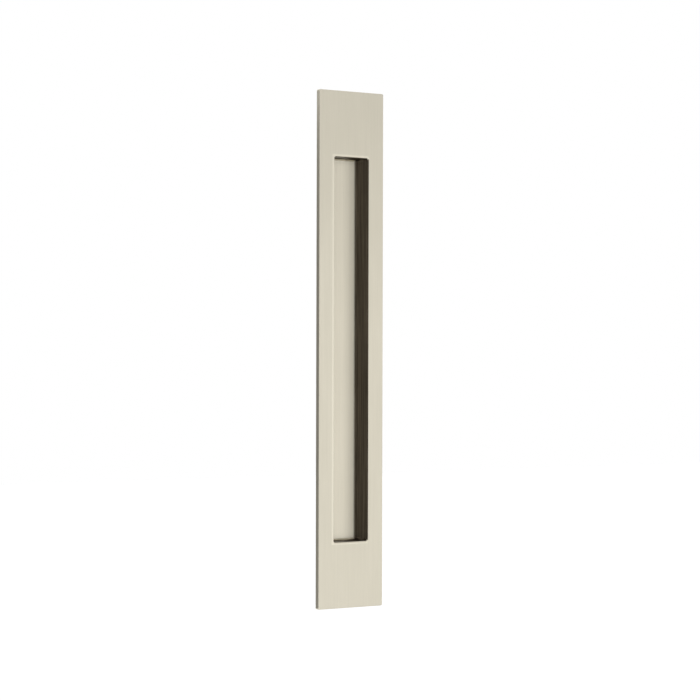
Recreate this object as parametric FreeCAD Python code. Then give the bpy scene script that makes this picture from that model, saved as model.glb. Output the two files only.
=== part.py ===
import FreeCAD, Part
import math
import os

# One-piece cast flush pull for a sliding door: a flat plate with a long finger recess.
# The origin is the centre of the plate's rear face, which seats on the door.
# The front looks along -Y, the cup reaches into the door along +Y, and Z runs up the length.
# All sizes are in millimetres.

# Plate that lies on the face of the door
plate_length = 304.8
plate_width = 44.45
plate_thickness = 3.2
plate_corner_radius = 0.8
plate_edge_radius = 0.5

# Finger recess, with its mouth measured in the face, outside the rounded rim
mouth_length = 228.6
mouth_width = 25.4
rim_radius = 1.0
recess_depth = 12.7
recess_inner_radius = 1.4
draft_angle = 1.0

# Cup behind the plate that carries the recess
wall_thickness = 2.0
floor_thickness = 2.0
root_radius = 1.0

# Overlap that lets one solid cut or join another cleanly
tool_overlap = 1.0

# Depths along Y that follow from the sizes above
face_y = -plate_thickness
recess_floor_y = face_y + recess_depth
cup_back_y = recess_floor_y + floor_thickness

# The cup's block starts halfway through the plate, so that the two join in one solid
cup_front_y = face_y / 2

# Distance from the corner of face and wall to where the rim's rounding starts in the face
rim_reach = rim_radius * math.tan(math.radians(90 - draft_angle) / 2)

# Largest distance at which an edge still counts as lying in a plane
tolerance = 0.001


def lies_at_y(edge, y):
    """True where the whole edge lies in the plane across the depth at y."""
    return abs(edge.BoundBox.YMin - y) < tolerance and abs(edge.BoundBox.YMax - y) < tolerance


def runs_through_depth(edge):
    """True where the edge runs from the front of its solid towards the back."""
    return edge.BoundBox.YLength > tolerance


def drafted_block(growth, front_y, back_y, radius):
    """Block that follows the recess's drafted walls, growth outside them, with every edge
    but the front ones rounded."""
    slope = math.tan(math.radians(draft_angle))
    front_shrink = (front_y - face_y) * slope
    back_shrink = (back_y - face_y) * slope
    half_width = mouth_width / 2 - rim_reach + growth
    half_length = mouth_length / 2 - rim_reach + growth
    front_x = half_width - front_shrink
    front_z = half_length - front_shrink
    back_x = half_width - back_shrink
    back_z = half_length - back_shrink
    block = Part.makeWedge(
        -front_x, front_y, -front_z, -back_z, -back_x,
        front_x, back_y, front_z, back_z, back_x,
    )
    rounded = [e for e in block.Edges if runs_through_depth(e) or lies_at_y(e, back_y)]
    return block.makeFillet(radius, rounded)


def face_plate():
    """Flat plate with rounded corners and a softened front edge."""
    corner = FreeCAD.Vector(-plate_width / 2, face_y, -plate_length / 2)
    slab = Part.makeBox(plate_width, plate_thickness, plate_length, corner)
    slab = slab.makeFillet(plate_corner_radius, [e for e in slab.Edges if runs_through_depth(e)])
    return slab.makeFillet(plate_edge_radius, [e for e in slab.Edges if lies_at_y(e, face_y)])


def edges_round_recess(body, y, growth):
    """Edges of the body in the plane at y that stay within growth of the recess's mouth."""
    half_width = mouth_width / 2 + growth
    half_length = mouth_length / 2 + growth
    region = FreeCAD.BoundBox(
        -half_width, y - tolerance, -half_length, half_width, y + tolerance, half_length
    )
    return [e for e in body.Edges if region.isInside(e.BoundBox)]


def pull_body():
    """Plate and cup as one casting, with the recess cut in and its rim and root rounded."""
    cup_outer_radius = recess_inner_radius + wall_thickness
    cup = drafted_block(wall_thickness, cup_front_y, cup_back_y, cup_outer_radius)
    body = face_plate().fuse(cup)
    body = body.makeFillet(root_radius, edges_round_recess(body, 0, wall_thickness))
    recess = drafted_block(0, face_y - tool_overlap, recess_floor_y, recess_inner_radius)
    body = body.cut(recess)
    body = body.makeFillet(rim_radius, edges_round_recess(body, face_y, 0))
    return body


def main():
    os.makedirs("parts", exist_ok=True)
    solid = pull_body()
    solid.exportStep("parts/pull_body.step")
    box = solid.BoundBox
    print("solids", len(solid.Solids), "valid", solid.isValid(), "faces", len(solid.Faces))
    print("volume", round(solid.Volume), "mm3")
    print("box", [round(v, 3) for v in (box.XMin, box.YMin, box.ZMin, box.XMax, box.YMax, box.ZMax)])


main()
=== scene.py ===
import math

import bmesh
import bpy
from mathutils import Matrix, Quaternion, Vector


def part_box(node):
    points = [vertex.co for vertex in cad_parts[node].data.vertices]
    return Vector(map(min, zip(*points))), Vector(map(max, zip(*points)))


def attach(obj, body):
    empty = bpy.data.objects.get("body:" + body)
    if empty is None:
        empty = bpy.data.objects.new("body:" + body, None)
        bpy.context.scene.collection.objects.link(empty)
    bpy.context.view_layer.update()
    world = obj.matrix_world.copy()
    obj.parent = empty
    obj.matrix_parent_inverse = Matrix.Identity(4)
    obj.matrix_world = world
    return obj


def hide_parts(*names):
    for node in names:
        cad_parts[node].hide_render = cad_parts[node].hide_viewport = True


# One-piece flush pull in brushed satin nickel, modelled over its plain solid.
# Lengths are in metres, in the solid's own frame: Z up the length, the front towards -Y.
MM = 0.001

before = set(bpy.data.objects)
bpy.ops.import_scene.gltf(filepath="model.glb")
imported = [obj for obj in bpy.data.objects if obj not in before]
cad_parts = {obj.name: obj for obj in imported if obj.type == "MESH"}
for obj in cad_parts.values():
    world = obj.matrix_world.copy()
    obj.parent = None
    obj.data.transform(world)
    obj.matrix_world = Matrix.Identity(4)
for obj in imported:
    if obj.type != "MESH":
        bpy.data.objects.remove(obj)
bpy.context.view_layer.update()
pull_low, pull_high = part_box("pull_body")

# Plate, with its outline and its face from the solid's box
plate_half_width = pull_high.x
plate_half_length = pull_high.z
face_y = pull_low.y
seat_y = 0.0
plate_corner_radius = 0.8 * MM
plate_edge_radius = 0.5 * MM

# Finger recess: its mouth in the face outside the rolled rim, and its drafted walls
mouth_half_width = 12.7 * MM
mouth_half_length = 114.3 * MM
rim_radius = 1.0 * MM
draft_angle = math.radians(1.0)
draft_slope = math.tan(draft_angle)
recess_radius = 1.4 * MM
recess_depth = 12.7 * MM
recess_floor_y = face_y + recess_depth

# Walls of the recess, where they would meet the face and the floor if both edges were sharp
rim_reach = rim_radius * math.tan((math.radians(90) - draft_angle) / 2)
recess_half_width = mouth_half_width - rim_reach
recess_half_length = mouth_half_length - rim_reach
recess_floor_half_width = recess_half_width - recess_depth * draft_slope
recess_floor_half_length = recess_half_length - recess_depth * draft_slope

# Cup behind the plate, measured where it meets the seat
wall_thickness = 2.0 * MM
cup_back_y = pull_high.y
cup_radius = recess_radius + wall_thickness
root_radius = 1.0 * MM
cup_half_width = recess_half_width + wall_thickness - (seat_y - face_y) * draft_slope
cup_half_length = recess_half_length + wall_thickness - (seat_y - face_y) * draft_slope

# Facets round each radius
outline_facets = 10
recess_facets = 10
cup_facets = 12
rim_facets = 10
root_facets = 8
plate_edge_facets = 6

# A corner's facets lie just inside its arc, so an end is rounded by this share of the same radius
end_rounding_share = 0.996

# Distance within which two places count as one
merge_distance = 0.01 * MM

# Depth past which a facet belongs to the rolled rim and no longer to the flat face
rim_start_y = face_y + 0.001 * MM

# Angle up to which the shading stays smooth, and how far large faces rule it, from 1 to 100
smooth_angle = math.radians(50)
large_face_weight = 100

# Size of a plane that reaches 1 to each side of its middle
unit_plane_size = 2


def deselect_all():
    bpy.ops.object.select_all(action="DESELECT")


def make_active(piece):
    """Leaves this piece as the only one selected, and makes it active."""
    deselect_all()
    piece.select_set(True)
    bpy.context.view_layer.objects.active = piece


def select_points(piece, test):
    """Selects the points of the piece in edit mode that pass the test."""
    bpy.ops.mesh.select_mode(type="VERT")
    bpy.ops.mesh.select_all(action="DESELECT")
    shape = bmesh.from_edit_mesh(piece.data)
    for point in shape.verts:
        point.select_set(test(point.co))
    shape.select_flush_mode()
    bmesh.update_edit_mesh(piece.data)


def select_edges(piece, test):
    """Selects the edges of the piece in edit mode whose two ends both pass the test."""
    bpy.ops.mesh.select_mode(type="EDGE")
    bpy.ops.mesh.select_all(action="DESELECT")
    shape = bmesh.from_edit_mesh(piece.data)
    for edge in shape.edges:
        edge.select_set(all(test(end.co) for end in edge.verts))
    bmesh.update_edit_mesh(piece.data)


def select_faces(piece, test):
    """Selects the faces of the piece in edit mode whose centre passes the test."""
    bpy.ops.mesh.select_mode(type="FACE")
    bpy.ops.mesh.select_all(action="DESELECT")
    shape = bmesh.from_edit_mesh(piece.data)
    for face in shape.faces:
        face.select_set(test(face.calc_center_median()))
    bmesh.update_edit_mesh(piece.data)


def in_plane(y):
    """Test for points at one depth."""
    return lambda place: abs(place.y - y) < merge_distance


def in_rectangle(y, half_width, half_length):
    """Test for points at one depth that lie in a rectangle about the middle, or on its border."""
    return lambda place: (
        abs(place.y - y) < merge_distance
        and abs(place.x) < half_width + merge_distance
        and abs(place.z) < half_length + merge_distance
    )


def behind_step(y, step):
    """Test for points at one depth on the side of the middle that a step leads away from."""
    return lambda place: (
        abs(place.y - y) < merge_distance
        and place.x * step[0] + place.z * step[2] < 0
    )


def on_plate_outline(place):
    """Test for points on the outer edge of the plate, its rounded corners included."""
    past_x = abs(place.x) - (plate_half_width - plate_corner_radius)
    past_z = abs(place.z) - (plate_half_length - plate_corner_radius)
    if past_x > 0 and past_z > 0:
        return math.hypot(past_x, past_z) > plate_corner_radius - merge_distance
    return max(past_x, past_z) > plate_corner_radius - merge_distance


def on_plate_front_edge(place):
    """Test for points on the edge between the plate's face and its sides."""
    return in_plane(face_y)(place) and on_plate_outline(place)


def add_outline(half_width, half_length, radius, y):
    """Adds a rounded rectangle of bare edges at one depth to the mesh in edit mode."""
    bpy.ops.mesh.primitive_plane_add(
        size=unit_plane_size, location=(0, y, 0), rotation=(math.radians(90), 0, 0)
    )
    bpy.ops.transform.resize(value=(half_width, 1, half_length), center_override=(0, y, 0))
    bpy.ops.mesh.bevel(
        offset=radius, segments=outline_facets, affect="VERTICES", clamp_overlap=False
    )
    bpy.ops.mesh.delete(type="ONLY_FACE")


def join_outlines(piece, test):
    """Fills the band between the two outlines that pass the test."""
    select_edges(piece, test)
    bpy.ops.mesh.bridge_edge_loops()


def draw_in(piece, y_from, y_to, half_width, half_length):
    """Extrudes the outline at one depth to another along drafted walls, and closes its end."""
    select_edges(piece, in_rectangle(y_from, half_width, half_length))
    bpy.ops.mesh.extrude_edges_move(TRANSFORM_OT_translate={"value": (0, y_to - y_from, 0)})
    shrink = (y_to - y_from) * draft_slope
    for step in ((-shrink, 0, 0), (shrink, 0, 0), (0, 0, -shrink), (0, 0, shrink)):
        select_points(piece, behind_step(y_to, step))
        bpy.ops.transform.translate(value=step)
    select_edges(piece, in_plane(y_to))
    bpy.ops.mesh.edge_face_add()


def round_over(piece, radius, facets, test):
    """Rounds the edges that pass the test."""
    select_edges(piece, test)
    bpy.ops.mesh.bevel(offset=radius, segments=facets, affect="EDGES", clamp_overlap=False)


def add_plate(piece):
    """Flat plate round the mouth of the recess: its front, its seat and its outer edge."""
    add_outline(plate_half_width, plate_half_length, plate_corner_radius, face_y)
    add_outline(recess_half_width, recess_half_length, recess_radius, face_y)
    join_outlines(piece, in_plane(face_y))
    add_outline(plate_half_width, plate_half_length, plate_corner_radius, seat_y)
    add_outline(cup_half_width, cup_half_length, cup_radius, seat_y)
    join_outlines(piece, in_plane(seat_y))
    join_outlines(piece, on_plate_outline)


def round_pull_edges(piece):
    """Floor of the recess and back of the cup, then the rim, the root and the plate's edge."""
    mouth = in_rectangle(face_y, recess_half_width, recess_half_length)
    root = in_rectangle(seat_y, cup_half_width, cup_half_length)
    round_over(piece, end_rounding_share * recess_radius, recess_facets, in_plane(recess_floor_y))
    round_over(piece, end_rounding_share * cup_radius, cup_facets, in_plane(cup_back_y))
    round_over(piece, rim_radius, rim_facets, mouth)
    round_over(piece, root_radius, root_facets, root)
    round_over(piece, plate_edge_radius, plate_edge_facets, on_plate_front_edge)


def close_mesh(piece):
    """Merges doubles, turns all faces outwards and smooths the shading over the radii."""
    bpy.ops.mesh.select_all(action="SELECT")
    bpy.ops.mesh.remove_doubles(threshold=merge_distance)
    bpy.ops.mesh.normals_make_consistent(inside=False)
    bpy.ops.object.mode_set(mode="OBJECT")
    make_active(piece)
    bpy.ops.object.shade_smooth_by_angle(angle=smooth_angle)
    weighted = piece.modifiers.new("even_normals", "WEIGHTED_NORMAL")
    weighted.keep_sharp = True
    weighted.weight = large_face_weight
    bpy.ops.object.modifier_apply(modifier=weighted.name)


def in_recess(place):
    """Test for the rolled rim, walls, inner radii and floor of the recess."""
    margin = rim_radius if place.y < face_y + rim_radius else merge_distance
    return (
        abs(place.x) < recess_half_width + margin
        and abs(place.z) < recess_half_length + margin
        and rim_start_y < place.y < recess_floor_y + merge_distance
    )


def on_back(place):
    """Test for the seat of the plate, the root and the outside of the cup."""
    return not in_recess(place) and place.y > seat_y - merge_distance


def finish_zones(piece):
    """Gives the face, the recess and the back each its own finish."""
    for finish in (brushed_face_finish(), recess_finish(), cast_back_finish()):
        piece.data.materials.append(finish)
    make_active(piece)
    bpy.ops.object.mode_set(mode="EDIT")
    for slot, test in ((1, in_recess), (2, on_back)):
        select_faces(piece, test)
        piece.active_material_index = slot
        bpy.ops.object.material_slot_assign()
    bpy.ops.object.mode_set(mode="OBJECT")


def make_pull():
    """The whole casting: plate, recess and cup in one closed mesh, begun as an emptied plane."""
    deselect_all()
    bpy.ops.mesh.primitive_plane_add()
    pull = bpy.context.object
    pull.name = "brushed_flush_pull"
    pull.data.name = "brushed_flush_pull"
    bpy.ops.object.mode_set(mode="EDIT")
    bpy.ops.mesh.select_all(action="SELECT")
    bpy.ops.mesh.delete(type="VERT")
    add_plate(pull)
    draw_in(pull, face_y, recess_floor_y, recess_half_width, recess_half_length)
    draw_in(pull, seat_y, cup_back_y, cup_half_width, cup_half_length)
    round_pull_edges(pull)
    close_mesh(pull)
    finish_zones(pull)
    return pull


def add_node(tree, kind, **values):
    """Adds a node and sets its named inputs."""
    made = tree.nodes.new(kind)
    for name, value in values.items():
        made.inputs[name].default_value = value
    return made


def noise(tree, grain_size, detail=2.0, roughness=0.5):
    """Noise from 0 to 1 on the piece's own coordinates, with a grain size along each axis."""
    place = tree.nodes.new("ShaderNodeTexCoord")
    stretch = add_node(tree, "ShaderNodeMapping", Scale=[1 / size for size in grain_size])
    made = add_node(tree, "ShaderNodeTexNoise", Scale=1.0, Detail=detail, Roughness=roughness)
    tree.links.new(place.outputs["Object"], stretch.inputs["Vector"])
    tree.links.new(stretch.outputs["Vector"], made.inputs["Vector"])
    return made.outputs["Fac"]


def fade(tree, value, span, low=0.0, high=1.0):
    """Smooth step of a value, from low where its span starts to high where it ends."""
    made = tree.nodes.new("ShaderNodeMapRange")
    made.interpolation_type = "SMOOTHSTEP"
    tree.links.new(value, made.inputs["Value"])
    for name, number in zip(("From Min", "From Max", "To Min", "To Max"), (*span, low, high)):
        made.inputs[name].default_value = number
    return made.outputs["Result"]


def compute(tree, operation, first, second=None):
    """Math on one or two values, each a socket or a number."""
    made = tree.nodes.new("ShaderNodeMath")
    made.operation = operation
    for socket, value in zip(made.inputs, (first, second)):
        if isinstance(value, (int, float)):
            socket.default_value = value
        elif value is not None:
            tree.links.new(value, socket)
    return made.outputs["Value"]


def either(tree, first, second):
    """Larger of two values."""
    return compute(tree, "MAXIMUM", first, second)


def both(tree, first, second):
    """Product of two masks."""
    return compute(tree, "MULTIPLY", first, second)


def weigh(tree, *parts):
    """Sum of values, each given with its weight."""
    total = None
    for value, weight in parts:
        part = compute(tree, "MULTIPLY", value, weight)
        total = part if total is None else compute(tree, "ADD", total, part)
    return total


def blend(tree, factor, colours):
    """Mix of two colours, each a socket or a plain colour."""
    made = tree.nodes.new("ShaderNodeMix")
    made.data_type = "RGBA"
    tree.links.new(factor, made.inputs["Factor"])
    sockets = [socket for socket in made.inputs if socket.type == "RGBA"]
    for socket, colour in zip(sockets, colours):
        if isinstance(colour, tuple):
            socket.default_value = (*colour, 1)
        else:
            tree.links.new(colour, socket)
    return next(socket for socket in made.outputs if socket.type == "RGBA")


def relief(tree, height, depth, strength):
    """Bump of a height, in which 1 stands for the given depth."""
    made = add_node(tree, "ShaderNodeBump", Strength=strength, Distance=depth)
    tree.links.new(height, made.inputs["Height"])
    return made.outputs["Normal"]


def own_place(tree):
    """Outputs X, Y and Z of each point's place on the piece."""
    place = tree.nodes.new("ShaderNodeTexCoord")
    axes = tree.nodes.new("ShaderNodeSeparateXYZ")
    tree.links.new(place.outputs["Object"], axes.inputs["Vector"])
    return axes.outputs


def new_finish(name, anisotropy):
    """Bare metal material, with its tree and its shader."""
    finish = bpy.data.materials.new(name)
    finish.use_nodes = True
    shader = finish.node_tree.nodes["Principled BSDF"]
    shader.inputs["Metallic"].default_value = 1.0
    shader.inputs["Anisotropic"].default_value = anisotropy
    return finish, finish.node_tree, shader


def dress(tree, shader, colour, roughness, normal):
    """Connects a finish's colour, roughness and relief to its shader."""
    tree.links.new(colour, shader.inputs["Base Color"])
    tree.links.new(roughness, shader.inputs["Roughness"])
    tree.links.new(normal, shader.inputs["Normal"])


# Brushing along the length: hairlines, broader streaks and cloudy patches, each with its share
hairline_grain = (0.22 * MM, 0.22 * MM, 16 * MM)
hairline_share = 0.35
streak_grain = (1.1 * MM, 1.1 * MM, 70 * MM)
streak_roughness = 0.6
streak_share = 0.4
cloud_grain = (16 * MM, 16 * MM, 45 * MM)
cloud_share = 0.25
brush_depth = 0.02 * MM
brush_strength = 0.3
brush_anisotropy = 1.0

# Levels of detail in a fine noise and in the finest
fine_detail = 3.0
finest_detail = 4.0

# Part of a noise's range that carries its contrast
noise_span = (0.3, 0.7)
narrow_noise_span = (0.35, 0.65)

# Satin nickel on the plate; a painted highlight rings the recess's mouth but for its right rim
nickel_tones = ((0.75, 0.705, 0.583), (0.79, 0.742, 0.616))
nickel_roughness = (0.41, 0.38)
painted_highlight_nickel = (0.89, 0.837, 0.698)
painted_highlight_reach = (0.1 * MM, 0.9 * MM)
right_rim_span = (mouth_half_width - 1.7 * MM, mouth_half_width - 0.2 * MM)


def brush_marks(tree):
    """Marks that the belt leaves along the length, as a tone from 0 to 1 and as a height."""
    hairline = noise(tree, hairline_grain, fine_detail)
    streak = noise(tree, streak_grain, fine_detail, streak_roughness)
    cloud = noise(tree, cloud_grain)
    height = weigh(tree, (hairline, hairline_share), (streak, streak_share))
    tone = weigh(tree, (hairline, hairline_share), (streak, streak_share), (cloud, cloud_share))
    return tone, height


def brushed_face_finish():
    """Plate's front and edges in satin nickel brushed along the length, with a painted highlight.
    """
    finish, tree, shader = new_finish("brushed_satin_nickel", brush_anisotropy)
    place = own_place(tree)
    across = compute(tree, "ABSOLUTE", place["X"])
    along = compute(tree, "ABSOLUTE", place["Z"])
    past_side = compute(tree, "SUBTRACT", across, mouth_half_width)
    past_end = compute(tree, "SUBTRACT", along, mouth_half_length)
    # Painted highlight: brighter nickel on the face next to the mouth, left off the right rim
    beyond_rim = fade(tree, either(tree, past_side, past_end), painted_highlight_reach)
    outside_painted_highlight = either(tree, beyond_rim, fade(tree, place["X"], right_rim_span))
    tone, height = brush_marks(tree)
    brushed = blend(tree, fade(tree, tone, noise_span), nickel_tones)
    dress(
        tree,
        shader,
        blend(tree, outside_painted_highlight, (painted_highlight_nickel, brushed)),
        fade(tree, tone, noise_span, *nickel_roughness),
        relief(tree, height, brush_depth, brush_strength),
    )
    return finish


# Painted light: the recess's floor in a lighter copy of the face's nickel
painted_light_floor_tones = ((0.88, 0.826, 0.683), (0.94, 0.882, 0.729))
recess_floor_roughness = 0.42

# Painted shade on the recess's side and end walls, with the lines that the tool leaves on the long
# ones
painted_shade_side_wall_tones = ((0.072, 0.058, 0.04), (0.168, 0.138, 0.1))
painted_shade_end_wall_tone = (0.042, 0.029, 0.017)
wall_roughness = 0.5
tool_line_grain = (40 * MM, 0.7 * MM, 40 * MM)
tool_line_roughness = 0.65

# Spans where the floor's painted light gives way to painted shade on side walls, end walls, corners
side_radius_span = (recess_floor_half_width - 2.2 * MM, recess_floor_half_width - 0.6 * MM)
end_radius_span = (recess_floor_half_length - 0.1 * MM, recess_floor_half_length + 0.1 * MM)
corner_span = (recess_floor_half_length - 0.8 * MM, recess_floor_half_length + 0.3 * MM)

# Depths over which each rim's painted highlight gives way to the painted shade of its wall
left_rim_depths = (face_y + 0.05 * MM, face_y + 0.15 * MM)
right_rim_depths = (face_y - 0.01 * MM, face_y + 0.02 * MM)
end_rim_depths = (face_y + 0.05 * MM, face_y + 1.0 * MM)


def painted_shade_walls(tree):
    """Painted shade on the recess's side walls and end walls, each as a mask from 0 to 1."""
    place = own_place(tree)
    across = compute(tree, "ABSOLUTE", place["X"])
    along = compute(tree, "ABSOLUTE", place["Z"])
    # The right rim is painted dark from the face on, the others only deeper: painted shade
    on_right = fade(tree, place["X"], right_rim_span)
    below_right_rim = both(tree, fade(tree, place["Y"], right_rim_depths), on_right)
    below_side_rim = either(tree, fade(tree, place["Y"], left_rim_depths), below_right_rim)
    below_end_rim = fade(tree, place["Y"], end_rim_depths)
    short_of_corner = fade(tree, along, corner_span, 1.0, 0.0)
    side_depth = either(tree, both(tree, below_side_rim, short_of_corner), below_end_rim)
    side = both(tree, fade(tree, across, side_radius_span), side_depth)
    end = both(tree, fade(tree, along, end_radius_span), below_end_rim)
    return side, end


def recess_finish():
    """Satin nickel of the recess, with painted light on its floor and painted shade on its walls.
    """
    finish, tree, shader = new_finish("recess_nickel", brush_anisotropy)
    side, end = painted_shade_walls(tree)
    tone, height = brush_marks(tree)
    # Painted light: the floor's lighter copy of the nickel
    bright = blend(tree, fade(tree, tone, noise_span), painted_light_floor_tones)
    tool_line = noise(tree, tool_line_grain, fine_detail, tool_line_roughness)
    # Painted shade: dark wall tones, streaked by tool lines
    side_wall = blend(tree, fade(tree, tool_line, noise_span), painted_shade_side_wall_tones)
    dress(
        tree,
        shader,
        blend(tree, end, (blend(tree, side, (bright, side_wall)), painted_shade_end_wall_tone)),
        fade(tree, either(tree, side, end), (0.0, 1.0), recess_floor_roughness, wall_roughness),
        relief(tree, height, brush_depth, brush_strength),
    )
    return finish


# Back that the door hides, plated over the bare casting with its grain and flow
back_tones = ((0.57, 0.532, 0.447), (0.62, 0.579, 0.488))
back_roughness = (0.55, 0.48)
back_grain = (0.5 * MM, 0.5 * MM, 0.5 * MM)
back_grain_roughness = 0.6
back_grain_share = 0.4
back_grain_depth = 0.05 * MM
back_grain_strength = 0.5
back_flow = (14 * MM, 14 * MM, 40 * MM)
back_flow_share = 0.6


def cast_back_finish():
    """Plated casting of the seat and the cup, which the door hides."""
    finish, tree, shader = new_finish("cast_back_nickel", 0.0)
    grain = noise(tree, back_grain, finest_detail, back_grain_roughness)
    tone = weigh(tree, (grain, back_grain_share), (noise(tree, back_flow), back_flow_share))
    dress(
        tree,
        shader,
        blend(tree, fade(tree, tone, narrow_noise_span), back_tones),
        fade(tree, tone, narrow_noise_span, *back_roughness),
        relief(tree, grain, back_grain_depth, back_grain_strength),
    )
    return finish


# Panels: azimuth, elevation, width and height in degrees, distance in metres, and brightness
panels = {
    "softbox_low": (4, -3, 68, 18, 2.2, 1.45),
    "softbox_high": (4, 14, 68, 16, 2.2, 1.15),
    "card_right": (65, 13, 50, 50, 2.2, 0.42),
    "card_left": (-75, 6, 50, 36, 2.2, 0.45),
    "card_back_left": (-143, -4, 84, 36, 1.2, 0.04),
}

# Level at which the white room lights the pull
room_light = 0.8

# Floor far below the pull, with the glow that makes it read as white
floor_height = -0.45
floor_size = 12
floor_grey = 0.85
floor_glow = 0.36


def toward(azimuth, elevation):
    """Unit vector from the pull, with azimuth 0 straight out of its face and growing towards +X."""
    return Vector((
        math.sin(azimuth) * math.cos(elevation),
        -math.cos(azimuth) * math.cos(elevation),
        math.sin(elevation),
    ))


def seen_directly(tree):
    """1 for what the camera sees, also in metal and through glass, and 0 for the rest."""
    path = tree.nodes.new("ShaderNodeLightPath")
    mirrored = either(tree, path.outputs["Is Glossy Ray"], path.outputs["Is Transmission Ray"])
    return either(tree, path.outputs["Is Camera Ray"], mirrored)


def set_white_room():
    """White all round where it is seen, and a plain level where it lights."""
    room = bpy.data.worlds.new("white_room")
    bpy.context.scene.world = room
    room.use_nodes = True
    tree = room.node_tree
    backdrop = tree.nodes["Background"]
    backdrop.inputs["Color"].default_value = (1, 1, 1, 1)
    strength = fade(tree, seen_directly(tree), (0, 1), room_light, 1)
    tree.links.new(strength, backdrop.inputs["Strength"])


def set_floor():
    """Plain pale floor that reads as white and keeps a faint shadow."""
    deselect_all()
    bpy.ops.mesh.primitive_plane_add(size=floor_size, location=(0, 0, floor_height))
    floor = bpy.context.object
    floor.name = "studio_floor"
    finish = bpy.data.materials.new("pale_floor")
    finish.use_nodes = True
    tree = finish.node_tree
    shader = tree.nodes["Principled BSDF"]
    shader.inputs["Base Color"].default_value = (floor_grey, floor_grey, floor_grey, 1)
    shader.inputs["Roughness"].default_value = 1.0
    shader.inputs["Emission Color"].default_value = (1, 1, 1, 1)
    glow = fade(tree, seen_directly(tree), (0, 1), 0, floor_glow)
    tree.links.new(glow, shader.inputs["Emission Strength"])
    floor.data.materials.append(finish)


def add_panel(name, azimuth, elevation, width, height, distance, brightness):
    """Flat panel that faces the pull and shows only in its metal, with its angles in degrees."""
    deselect_all()
    bpy.ops.mesh.primitive_plane_add(size=unit_plane_size)
    panel = bpy.context.object
    panel.name = name
    out = toward(math.radians(azimuth), math.radians(elevation))
    panel.location = out * distance
    panel.rotation_mode = "QUATERNION"
    panel.rotation_quaternion = out.to_track_quat("Z", "Y")
    half_angles = math.radians(width / 2), math.radians(height / 2)
    panel.scale = (*(distance * math.tan(half) for half in half_angles), 1)
    finish = bpy.data.materials.new(name)
    finish.use_nodes = True
    shader = finish.node_tree.nodes["Principled BSDF"]
    shader.inputs["Base Color"].default_value = (0, 0, 0, 1)
    shader.inputs["Specular IOR Level"].default_value = 0
    shader.inputs["Emission Color"].default_value = (1, 1, 1, 1)
    shader.inputs["Emission Strength"].default_value = brightness
    panel.data.materials.append(finish)
    panel.visible_camera = False
    panel.visible_diffuse = False
    panel.visible_shadow = False


# Camera at the photograph's viewing angle
camera_azimuth = math.radians(-32.19)
camera_elevation = math.radians(-0.334)
camera_roll = math.radians(0.14)
camera_distance = 1.2521
camera_target = Vector((1.044, -0.2, -0.324)) * MM
camera_sensor = 36
camera_lens = 108.8


def set_camera():
    """Camera that looks at the pull from the front left, upright."""
    data = bpy.data.cameras.new("camera")
    data.sensor_width = camera_sensor
    data.lens = camera_lens
    camera = bpy.data.objects.new("camera", data)
    bpy.context.scene.collection.objects.link(camera)
    back = toward(camera_azimuth, camera_elevation)
    camera.location = camera_target + back * camera_distance
    camera.rotation_mode = "QUATERNION"
    look = (-back).to_track_quat("-Z", "Y")
    camera.rotation_quaternion = look @ Quaternion((0, 0, 1), camera_roll)
    bpy.context.scene.camera = camera


pull = make_pull()
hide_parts("pull_body")
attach(pull, "root")

set_camera()
set_white_room()
set_floor()
for panel_name, panel_values in panels.items():
    add_panel(panel_name, *panel_values)
bpy.context.scene.view_settings.view_transform = "Standard"
